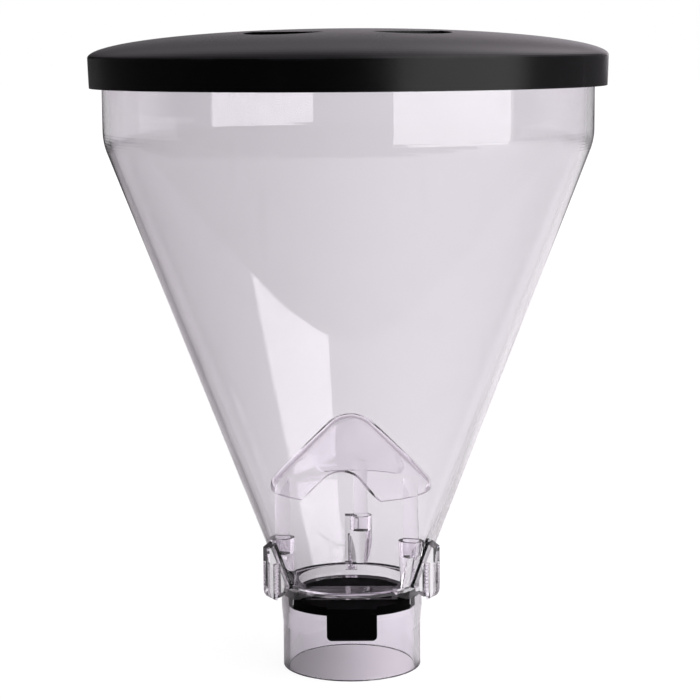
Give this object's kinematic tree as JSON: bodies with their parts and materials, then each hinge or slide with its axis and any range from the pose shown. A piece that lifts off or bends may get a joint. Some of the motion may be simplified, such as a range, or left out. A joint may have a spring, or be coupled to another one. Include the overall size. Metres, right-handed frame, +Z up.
{
  "type": "coffee grinder bean hopper",
  "caption": "Clear conical bean hopper with a domed black lid, a slide gate over its outlet spigot, a bean guard above the throat and screw ears for fixing it to a grinder.",
  "frame": {"origin": "middle of the spigot's bottom rim", "axes": "+Z up along the hopper's axis, -Y towards the gate's pull tab"},
  "size_m": [0.21, 0.21, 0.2642],
  "materials": {
    "clear_plastic": "clear, polished moulding",
    "gate_black": "black, smooth",
    "lid_black": "black, satin, very fine grain"
  },
  "bodies": {
    "hopper": {"hopper_cone": "clear_plastic", "spigot_sleeve": "clear_plastic", "bean_guard": "clear_plastic"},
    "gate": {"gate_slide": "gate_black"},
    "lid": {"lid": "lid_black"}
  },
  "joints": [
    {"name": "gate_pull", "type": "slide", "parent": "hopper", "child": "gate", "axis": [0, -1, 0], "range_m": [0, 0.043]},
    {"name": "lid_lift", "type": "slide", "parent": "hopper", "child": "lid", "axis": [0, 0, 1], "range_m": [0, 0.06]}
  ]
}
